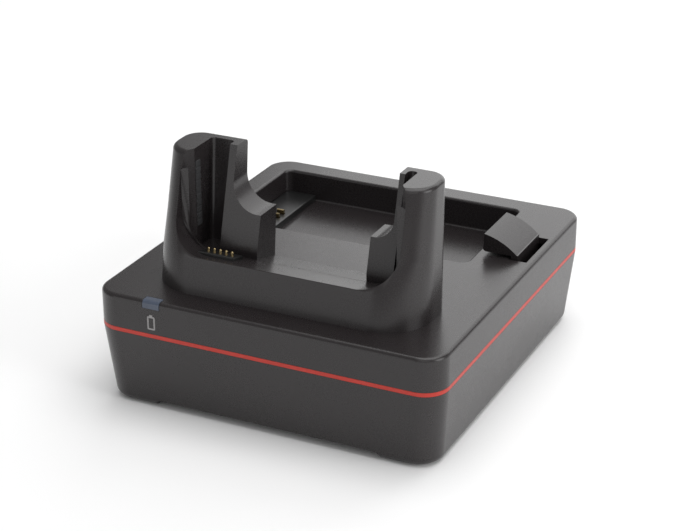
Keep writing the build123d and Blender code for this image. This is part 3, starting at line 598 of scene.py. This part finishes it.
def finishes():
    """Makes every finish once, by the name of the record's material slot."""
    colours = bpy.context.scene.dock_colours
    return {
        "shell": moulded_plastic("shell_plastic", colours.shell),
        "red_trim": gloss_plastic("band_plastic", colours.band, 0.34),
        "pad_rubber": rubber("pad_rubber", colours.rubber),
        "foot_rubber": rubber("foot_rubber", colours.rubber),
        "black_plastic": moulded_plastic("connector_plastic", colours.black, 0.34, 0.2 * MM),
        "contact_metal": turned_metal("gold_plate", colours.gold, 0.2),
        "steel": turned_metal("steel", colours.steel, 0.3),
        "circuit_board": circuit_board("board_lacquer", colours.board),
        "ribbon": ribbon_film("ribbon_film", colours.ribbon),
        "window": light_window("light_window", colours.window),
        "lamp": lamp_lens("lamp_lens", colours.lamp),
        "dark_parts": moulded_plastic("component_case", colours.black, 0.5, 0.15 * MM),
        "mark": printed_ink("printed_symbol", colours.mark),
    }


# Shapes shared by several pieces -------------------------------------------------------

FINISH = {}


def base_prism(name, low, high, inset=0.0):
    """The base's outline between two heights, moved inwards."""
    sizes = bpy.context.scene.dock_sizes
    half = UPPER[1].xy - Vector((inset, inset))
    obj = box(name, (-half.x, -half.y, low), (half.x, half.y, high))
    return bevel(obj, upright, sizes.corner - inset, 14)


def skirt_outline(z, inset=0.0):
    """The lower housing's outline at a height: it draws in towards the desk."""
    sizes = bpy.context.scene.dock_sizes
    seam = TRIM[0].z
    side = inset + sizes.inset * (seam - z) / (seam - LOWER[0].z)
    half = UPPER[1].xy - Vector((side, side))
    corner = sizes.corner - inset
    return outline((-half.x, half.x), (-half.y, half.y), z, corner, corner)


def cup_outline(rise, inset=0.0):
    """The cup's outline at a height above the deck."""
    sizes = bpy.context.scene.dock_sizes
    share = rise / (CUP[1].z - DECK)
    half = CUP[1].x - share * sizes.draw - inset
    front = CUP[0].y + between(rise, (0, sizes.sill_back, sizes.waist_back, sizes.top_back)) + inset
    back = CUP[1].y - (1 - share) * sizes.lean_back - inset
    corner = between(rise, (sizes.foot_corner, sizes.sill_corner, sizes.waist_corner, sizes.post_corner))
    return outline((-half, half), (front, back), DECK + rise, corner - inset, sizes.cup_back - inset)


def between(rise, values):
    """Value at a height, from the values at the foot, the sill, the waist and the top."""
    sizes = bpy.context.scene.dock_sizes
    rises = (0, sizes.sill, sizes.waist, CUP[1].z - DECK)
    step = max(i for i in range(3) if i == 0 or rise > rises[i])
    share = (rise - rises[step]) / (rises[step + 1] - rises[step])
    return values[step] + share * (values[step + 1] - values[step])


def cup_solid(name, low, high, inset=0.0):
    """The cup before its pocket is cut, between two heights above the deck."""
    sizes = bpy.context.scene.dock_sizes
    rises = (low, sizes.sill, sizes.waist, high)
    return loft(name, [cup_outline(rise, inset) for rise in rises])


def lowered(flat, z):
    """Moves a flat outline to a height."""
    flat.location.z = z - flat.data.vertices[0].co.z
    return settle(flat)


def heel():
    """Where the pocket's floor meets its back rest."""
    sizes = bpy.context.scene.dock_sizes
    return Vector((0, CUP[0].y + sizes.heel_back, DECK + sizes.heel_rise))


def pocket_tool(grow=0.0):
    """Block that clears the room for the device, leaning back on its heel."""
    sizes = bpy.context.scene.dock_sizes
    half = sizes.pocket / 2 + grow
    tool = box("pocket", (-half, -90 * MM, -grow), (half, grow, 90 * MM))
    bevel(tool, lengthwise(-grow), sizes.pocket_corner + grow, 16)
    return leaned(tool, heel(), sizes.device_lean)


def opening_tool(grow=0.0):
    """Block for the gap between the wings, wider above them, and sloped like the floor below."""
    sizes = bpy.context.scene.dock_sizes
    half = sizes.pocket / 2
    start = heel()
    y = (start.y - 1.5 * MM, CUP[1].y + 1 * MM)
    tip = start.z + sizes.wing_rise - grow
    top = CUP[1].z + 1 * MM
    left = -half + sizes.left_flange - grow
    right = half - sizes.right_flange + grow
    upper = box("opening", (left, y[0], tip), (right, y[1], top))
    sweep_left = sizes.left_wing - sizes.left_flange - 1.5 * MM
    sweep_right = sizes.right_wing - sizes.right_flange - 1.5 * MM
    for x, sweep in ((left, sweep_left), (right, sweep_right)):
        bevel(upper, lambda edge: level(tip)(edge) and all(abs(p.x - x) < CLOSE for p in ends(edge)),
              sweep, 18)
    lower = box("gap", (-half + sizes.left_wing - grow, y[0], DECK - 1 * MM),
                (half - sizes.right_wing + grow, y[1], top - 0.5 * MM))
    tool = add(upper, lower)
    floor = box("floor", (-120 * MM, -120 * MM, -120 * MM), (120 * MM, 120 * MM, -grow))
    return cut(tool, leaned(floor, start, sizes.device_lean))


def groove_tool(x, grow=0.0):
    """Upright clearance behind the back rest beside one side wall."""
    sizes = bpy.context.scene.dock_sizes
    slope = sizes.lean_back / (CUP[1].z - DECK)
    low = heel().z - grow
    high = CUP[1].z + 1 * MM
    back = CUP[1].y - sizes.lean_back - sizes.groove_wall + grow
    tool = box("groove", (x[0] - grow, heel().y - 1.5 * MM, low), (x[1] + grow, back, high))
    for z in (low, high):
        with editing(tool, "VERT") as mesh:
            pick(tool, mesh, "verts", lambda v: abs(v.co.z - z) < FLAT and v.co.y > heel().y)
            bpy.ops.transform.translate(value=(0, slope * (z - DECK), 0))

    def tall(edge):
        low, high = ends(edge)
        return abs(low.z - high.z) > EPS and min(low.y, high.y) > heel().y

    return bevel(tool, tall, 1.5 * MM, 6)


def lead_tool(grow=0.0):
    """Upright flare at the front of both side walls, rounded off where it nears the floor."""
    sizes = bpy.context.scene.dock_sizes
    half = sizes.pocket / 2 + grow
    wide = half + sizes.lead_width
    start = heel().y + sizes.lead_start + grow / 2
    turn_in = start - sizes.lead_depth
    front = box("front", (-wide, UPPER[0].y - EPS, DECK - EPS), (wide, turn_in, CUP[1].z + 2 * MM))
    back = box("back", (-wide, turn_in, DECK), (wide, start, CUP[1].z + 1 * MM))
    with editing(back, "VERT") as mesh:
        pick(back, mesh, "verts", lambda v: v.co.y > start - CLOSE)
        bpy.ops.transform.resize(value=(half / wide, 1, 1))
    tool = add(front, back)
    low = 0.05 * MM - grow
    room = box("room", (-wide, -90 * MM, low), (wide, 90 * MM, 90 * MM))
    bevel(room, lengthwise(low), sizes.pocket_corner + sizes.lead_width + grow, 16)
    return common(tool, leaned(room, heel(), sizes.device_lean))


def cup_tools(grow=0.0):
    """Every block that the cup's pocket is cut with, each larger by the same amount."""
    sizes = bpy.context.scene.dock_sizes
    half = sizes.pocket / 2
    return [pocket_tool(grow), lead_tool(grow), opening_tool(grow),
            groove_tool((-half, -half + sizes.left_groove), grow),
            groove_tool((half - sizes.right_groove, half), grow)]


def bay_tool(grow, low, high):
    """The battery bay's outline between two heights."""
    sizes = bpy.context.scene.dock_sizes
    x = UPPER[0].x + sizes.bay_left
    y = UPPER[1].y - sizes.bay_back
    tool = box("bay", (x - grow, y - sizes.bay_length - grow, low),
               (x + sizes.bay_width + grow, y + grow, high))
    return bevel(tool, upright, sizes.bay_corner + grow, 8)


def latch_place():
    """Inner and outer face of the latch's stem where it passes the deck."""
    sizes = bpy.context.scene.dock_sizes
    outer = UPPER[1].x - sizes.stem_out
    return outer - sizes.stem, outer


def notch(grow=0.0):
    """Room for the status light's window in the deck's front edge."""
    return box("notch", (PIPE[0].x - grow, UPPER[0].y - 1 * MM, DECK - 2.8 * MM),
               (PIPE[1].x + grow, UPPER[0].y + 3.5 * MM + grow, DECK + 1 * MM))


# Pieces --------------------------------------------------------------------------------

class DOCK_OT_upper_housing(bpy.types.Operator):
    """Deck, skirt and battery well in one moulding"""
    bl_idname = "dock.upper_housing"
    bl_label = "Upper Housing"

    def execute(self, context):
        sizes = context.scene.dock_sizes
        seam = TRIM[1].z
        floor = DECK - sizes.bay_deep
        shell = base_prism("upper", seam, DECK)
        bevel(shell, level(DECK), sizes.top_edge, 6)
        cut(shell, base_prism("hollow", seam - EPS, DECK - sizes.wall, sizes.wall))
        add(shell, bay_tool(2 * MM, floor - 2 * MM, DECK - 1 * MM))
        for x, y in corners(SCREW_X, SCREW_Y):
            add(shell, rod("boss", (x, y, UPPER[0].z), (x, y, DECK - 1 * MM), BOSS))
        well = bay_tool(0, floor, DECK + EPS)
        bevel(well, level(floor), 0.8 * MM, 4)
        cut(shell, well)
        tidy(shell)
        bay = (UPPER[0].x + sizes.bay_left, UPPER[1].y - sizes.bay_back - sizes.bay_length)
        far = (bay[0] + sizes.bay_width, bay[1] + sizes.bay_length)

        def rim(edge):
            return level(DECK)(edge) and all(
                all(bay[i] - EPS < p[i] < far[i] + EPS for i in range(2)) for p in ends(edge))

        bevel(shell, rim, sizes.bay_rim, 5)
        stem = latch_place()
        cut(shell, box("slot", (stem[0] - sizes.slot_side, LATCH[0].y - sizes.slot_side, DECK - 5 * MM),
                       (stem[1] + sizes.slot_out, LATCH[1].y + sizes.slot_side, DECK + 1 * MM)))
        cut(shell, notch(0.15 * MM))
        tidy(shell)
        soften(shell, sizes.soft_edge)
        hand_in(shell, "upper_shell", "dock", "shell", FINISH["shell"], "upper_housing")
        return {"FINISHED"}


class DOCK_OT_lower_housing(bpy.types.Operator):
    """Pan that draws in towards the desk, with a runner along each side"""
    bl_idname = "dock.lower_housing"
    bl_label = "Lower Housing"

    def execute(self, context):
        sizes = context.scene.dock_sizes
        seam = TRIM[0].z
        foot = LOWER[0].z
        pan = loft("lower", [skirt_outline(foot), skirt_outline(seam)])
        bevel(pan, level(foot), sizes.foot_edge, 6)
        floor = sizes.relief + sizes.wall
        cut(pan, loft("hollow", [skirt_outline(floor, sizes.wall),
                                 lowered(skirt_outline(seam, sizes.wall), seam + EPS)]))
        half = UPPER[1].x - sizes.runner
        relief = box("relief", (-half, -90 * MM, -1 * MM), (half, 90 * MM, sizes.relief))
        bevel(relief, lengthwise(sizes.relief), 2.2 * MM, 3)
        cut(pan, relief)
        for x, y in corners(SCREW_X, SCREW_Y):
            add(pan, rod("boss", (x, y, floor - EPS), (x, y, UPPER[0].z), BOSS))
            cut(pan, rod("seat", (x, y, -1 * MM), (x, y, 14 * MM), 2.9 * MM))
        for x, y in corners(FEET[1].x - FOOT, FEET[1].y - FOOT):
            cut(pan, rod("recess", (x, y, -1 * MM), (x, y, FEET[1].z), 6.05 * MM, 64))
        jack = [Vector(corner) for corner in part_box("power_jack")]
        middle = (jack[0] + jack[1]) / 2
        cut(pan, rod("jack", (middle.x, 60 * MM, middle.z), (middle.x, 80 * MM, middle.z), 4.65 * MM))
        usb = [Vector(corner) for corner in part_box("usb_port")]
        room = 0.2 * MM
        hole = box("usb", (usb[0].x - room, 60 * MM, usb[0].z - room),
                   (usb[1].x + room, 80 * MM, usb[1].z + room))
        cut(pan, bevel(hole, through, 0.8 * MM, 4))
        tidy(pan)
        soften(pan, sizes.soft_edge)
        hand_in(pan, "lower_shell", "dock", "shell", FINISH["shell"], "lower_housing")
        return {"FINISHED"}


class DOCK_OT_trim_band(bpy.types.Operator):
    """Coloured band between the two housings"""
    bl_idname = "dock.trim_band"
    bl_label = "Trim Band"

    def execute(self, context):
        sizes = context.scene.dock_sizes
        band = base_prism("band", TRIM[0].z, TRIM[1].z)
        cut(band, base_prism("inner", TRIM[0].z - EPS, TRIM[1].z + EPS, sizes.wall))
        soften(band, 0.12 * MM, 2)
        hand_in(band, "colour_band", "dock", "red_trim", FINISH["red_trim"], "trim_band")
        return {"FINISHED"}


class DOCK_OT_device_cup(bpy.types.Operator):
    """Leaning cup: two posts, a low front wall, a sloping floor and two wings"""
    bl_idname = "dock.device_cup"
    bl_label = "Device Cup"

    def execute(self, context):
        sizes = context.scene.dock_sizes
        rise = CUP[1].z - DECK
        cup = cup_solid("cup", 0, rise)
        bevel(cup, level(CUP[1].z), sizes.cup_top, 5)
        hollow = cup_solid("hollow", -EPS, rise - sizes.wall, sizes.wall)
        cut(hollow, *cup_tools(sizes.wall))
        cut(cup, *cup_tools())
        cut(cup, hollow)
        port = [Vector(corner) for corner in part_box("dock_connector")]
        middle = (port[0].x + port[1].x) / 2
        half, near, far = 7.15 * MM, -9.65 * MM, -2.35 * MM  # half its width, and its ends from the heel
        hole = box("port", (middle - half, near, -6 * MM), (middle + half, far, 3 * MM))
        cut(cup, leaned(hole, heel(), sizes.device_lean))
        tidy(cup)
        soften(cup, sizes.cup_edge, 4)
        hand_in(cup, "leaning_cup", "dock", "shell", FINISH["shell"], "device_cup")
        return {"FINISHED"}


class DOCK_OT_grip_pads(bpy.types.Operator):
    """Two ribbed rubber strips let into the cup's side walls"""
    bl_idname = "dock.grip_pads"
    bl_label = "Grip Pads"

    def execute(self, context):
        sizes = context.scene.dock_sizes
        half = sizes.pocket / 2
        start = heel() + Vector((0, 1 * MM, 8 * MM))
        deep, tall, pitch = 3.2 * MM, 24 * MM, 2.4
        for side, name in ((-1, "grip_pad_left"), (1, "grip_pad_right")):
            face = side * (half - 0.3 * MM)
            x = sorted((face, face + side * 1 * MM))
            pad = box("pad", (x[0], start.y, start.z), (x[1], start.y + deep, start.z + tall))
            for step in range(9):
                z = start.z + (pitch + pitch * step) * MM
                cut(pad, rod("rib", (face, start.y - EPS, z), (face, start.y + 4 * MM, z), 0.25 * MM, 12))
            soften(pad, 0.12 * MM, 2)
            nodes = ["cup_grip_pads"] if side < 0 else []
            hand_in(pad, name, "dock", "pad_rubber", FINISH["pad_rubber"], *nodes)
        return {"FINISHED"}


class DOCK_OT_battery_latch(bpy.types.Operator):
    """Sprung lever with an arched head over the edge of the battery bay"""
    bl_idname = "dock.battery_latch"
    bl_label = "Battery Latch"

    def execute(self, context):
        sizes = context.scene.dock_sizes
        inner, outer = latch_place()
        y = (LATCH[0].y, LATCH[1].y)
        under = DECK + 1.2 * MM
        reach = 16 * MM
        shoulder = DECK + 5.73 * MM
        crown = [Vector((outer - reach, LATCH[1].z)), Vector((outer - 0.4 * reach, shoulder)),
                 Vector((outer, under))]
        middle, radius = circle_through(*crown)
        head = rod("head", (middle.x, y[0], middle.y), (middle.x, y[1], middle.y), radius, 256)
        slice_off(head, (0, 0, under), (0, 0, -1))
        slice_off(head, (LATCH[0].x, 0, 0), (-1, 0, 0.06))
        slice_off(head, (outer - 0.78 * reach, 0, under), (-0.58, 0, -0.81))
        pin = [Vector(corner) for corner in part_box("latch_pin")]
        centre = (pin[0] + pin[1]) / 2
        stem = box("stem", (centre.x - sizes.stem / 2, y[0], centre.z),
                   (centre.x + sizes.stem / 2, y[1], under + 0.5 * MM))
        with editing(stem, "VERT") as mesh:
            pick(stem, mesh, "verts", lambda v: v.co.z > under)
            bpy.ops.transform.translate(value=(outer - sizes.stem / 2 - centre.x, 0, 0))
        add(head, stem)
        bay = 4 * MM
        cut(head, box("gap", (40 * MM, centre.y - bay, 0), (70 * MM, centre.y + bay, centre.z + 4.4 * MM)))
        for span in ((y[0], centre.y - bay), (centre.y + bay, y[1])):
            add(head, rod("hub", (centre.x, span[0], centre.z), (centre.x, span[1], centre.z), 3.4 * MM, 48))
        cut(head, rod("bore", (centre.x, y[0] - EPS, centre.z), (centre.x, y[1] + EPS, centre.z), 1.55 * MM, 48))
        tidy(head)
        soften(head, 0.45 * MM, 3)
        hand_in(head, "latch_lever", "latch", "shell", FINISH["shell"], "battery_latch")
        return {"FINISHED"}


def circle_through(first, second, third):
    """Centre and radius of the circle through three points of a plane."""
    ab = second - first
    ac = third - first
    turn = 2 * (ab.x * ac.y - ab.y * ac.x)
    x = (ac.y * ab.length_squared - ab.y * ac.length_squared) / turn
    y = (ab.x * ac.length_squared - ac.x * ab.length_squared) / turn
    offset = Vector((x, y))
    return first + offset, offset.length


class DOCK_OT_battery_symbol(bpy.types.Operator):
    """Printed outline of a battery under the status light"""
    bl_idname = "dock.battery_symbol"
    bl_label = "Battery Symbol"

    def execute(self, context):
        sizes = context.scene.dock_sizes
        middle = (PIPE[0].x + PIPE[1].x) / 2
        front = UPPER[0].y
        wide = sizes.symbol * 0.68
        low = TRIM[1].z + 1.7 * MM
        high = low + 5.0 * MM
        proud = 0.05 * MM
        y = (front - proud, front + proud)
        mark = box("symbol", (middle - wide / 2, y[0], low), (middle + wide / 2, y[1], high))
        bevel(mark, through, 0.5 * MM, 5)
        add(mark, box("tip", (middle - wide / 5, y[0], high - EPS),
                      (middle + wide / 5, y[1], high + 0.6 * MM)))
        line = 0.55 * MM
        cut(mark, box("inside", (middle - wide / 2 + line, y[0] - EPS, low + line),
                      (middle + wide / 2 - line, y[1] + EPS, high - line)))
        soften(mark, 0)
        hand_in(mark, "battery_symbol", "dock", "window", FINISH["mark"])
        return {"FINISHED"}


class DOCK_OT_rubber_feet(bpy.types.Operator):
    """Four round feet with a rounded lower edge"""
    bl_idname = "dock.rubber_feet"
    bl_label = "Rubber Feet"

    def execute(self, context):
        names = iter(("foot_left_front", "foot_left_back", "foot_right_front", "foot_right_back"))
        nodes = ["rubber_feet"]
        for x, y in corners(FEET[1].x - FOOT, FEET[1].y - FOOT):
            foot = rod("foot", (x, y, 0), (x, y, FEET[1].z), FOOT, 64)
            bevel(foot, level(0), 0.4 * MM, 3)
            soften(foot, 0)
            hand_in(foot, next(names), "dock", "foot_rubber", FINISH["foot_rubber"], *nodes)
            nodes = []
        return {"FINISHED"}


class DOCK_OT_frame_parts(bpy.types.Operator):
    """Finishes for the parts that keep their frame shape"""
    bl_idname = "dock.frame_parts"
    bl_label = "Frame Parts"

    def execute(self, context):
        for part in frame["record"]["subparts"]:
            node = frame["nodes"][part["node"]]
            for place in node.material_slots:
                place.material = FINISH[part["material_slot"]]
        return {"FINISHED"}


# name, place, what it points at, width, power
LAMPS = (
    ("back_softbox", (0.0, 1.3, 0.75), (0, 0, 0.03), 1.5, 10.5),
    ("top_softbox", (0.2, 0.1, 1.5), (0, 0, 0), 1.4, 16),
    ("front_fill", (0.5, -1.3, 0.9), (0, 0, 0.04), 1.2, 3),
    ("side_strip", (1.3, -0.1, 0.5), (0, 0, 0.04), 0.8, 7),
    ("low_front_strip", (-0.75, -1.45, 0.18), (0, 0, 0.06), 0.5, 1),
)
SKY = 0.32  # strength of the even light from all round
CAMERA_PLACE = (0.2687, -0.5655, 0.3178)
CAMERA_TURN = (radians(65.717), 0, radians(25.397))
LENS = 97.28  # focal length in millimetres


class DOCK_OT_stage(bpy.types.Operator):
    """Pale floor, soft studio lights and the camera"""
    bl_idname = "dock.stage"
    bl_label = "Stage"

    def execute(self, context):
        colours = context.scene.dock_colours
        surface = studio_floor("studio_floor", colours.floor)
        bpy.ops.object.select_all(action="DESELECT")
        bpy.ops.mesh.primitive_plane_add(size=8)
        floor = bpy.context.object
        floor.name = "floor"
        floor.data.materials.append(surface)
        for item in LAMPS:
            lamp(*item)
        world = bpy.data.worlds.new("studio")
        world.use_nodes = True
        background = world.node_tree.nodes["Background"]
        background.inputs["Color"].default_value = (1, 1, 1, 1)
        background.inputs["Strength"].default_value = SKY
        context.scene.world = world
        context.scene.view_settings.view_transform = "Standard"
        bpy.ops.object.camera_add(location=CAMERA_PLACE, rotation=CAMERA_TURN)
        camera = bpy.context.object
        camera.data.sensor_width = 36
        camera.data.lens = LENS
        camera.data.clip_start = 0.01
        context.scene.camera = camera
        return {"FINISHED"}


def lamp(name, place, target, size, power):
    """Square soft light that points at a target."""
    aim = Vector(target) - Vector(place)
    bpy.ops.object.light_add(type="AREA", location=place, rotation=aim.to_track_quat("-Z", "Y").to_euler())
    light = bpy.context.object
    light.name = name
    light.data.shape = "SQUARE"
    light.data.size = size
    light.data.energy = power
    return light


# Add-on --------------------------------------------------------------------------------

class DOCK_PT_panel(bpy.types.Panel):
    """Lists the dock's pieces, sizes and colours"""
    bl_idname = "DOCK_PT_panel"
    bl_label = "Charging Dock"
    bl_space_type = "VIEW_3D"
    bl_region_type = "UI"
    bl_category = "Dock"

    def draw(self, context):
        for step in STEPS:
            self.layout.operator(step.bl_idname)
        for group in (context.scene.dock_sizes, context.scene.dock_colours):
            column = self.layout.column()
            for name in group.__annotations__:
                column.prop(group, name)


STEPS = (DOCK_OT_stage, DOCK_OT_frame_parts, DOCK_OT_upper_housing, DOCK_OT_lower_housing,
         DOCK_OT_trim_band, DOCK_OT_device_cup, DOCK_OT_grip_pads, DOCK_OT_battery_latch,
         DOCK_OT_battery_symbol, DOCK_OT_rubber_feet)
GROUPS = (DockSizes, DockColours)


def register():
    for item in (*GROUPS, *STEPS, DOCK_PT_panel):
        bpy.utils.register_class(item)
    bpy.types.Scene.dock_sizes = PointerProperty(type=DockSizes)
    bpy.types.Scene.dock_colours = PointerProperty(type=DockColours)


def unregister():
    del bpy.types.Scene.dock_colours
    del bpy.types.Scene.dock_sizes
    for item in reversed((*GROUPS, *STEPS, DOCK_PT_panel)):
        bpy.utils.unregister_class(item)


def main():
    """Makes every piece."""
    register()
    FINISH.update(finishes())
    for step in STEPS:
        group, name = step.bl_idname.split(".")
        getattr(getattr(bpy.ops, group), name)()


if __name__ == "__main__":
    main()
